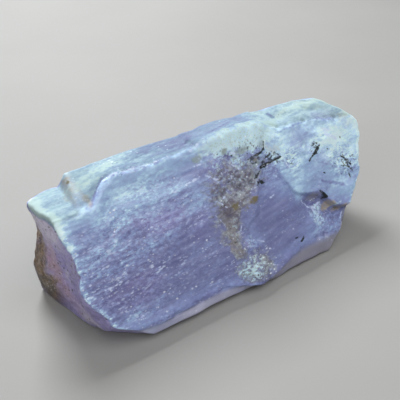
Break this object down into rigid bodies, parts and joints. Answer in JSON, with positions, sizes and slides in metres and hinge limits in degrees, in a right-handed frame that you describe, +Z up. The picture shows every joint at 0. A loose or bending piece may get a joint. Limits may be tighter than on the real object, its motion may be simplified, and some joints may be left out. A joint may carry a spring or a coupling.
{
  "type": "kunzite crystal",
  "caption": "Rough kunzite crystal, a flattened violet prism broken at both ends, with a frosted ledge and a tan scar, lying on a flat side.",
  "frame": {"origin": "under the middle of the crystal's box, on the surface it lies on", "axes": "+X along the crystal's long axis towards the frosted end, +Y towards the back, +Z up from the flat side it lies on"},
  "size_m": [0.0826, 0.031, 0.0296],
  "materials": {
    "kunzite": "cloudy, frosted crystal"
  },
  "bodies": {
    "root": {"kunzite_crystal": "kunzite"}
  },
  "joints": []
}
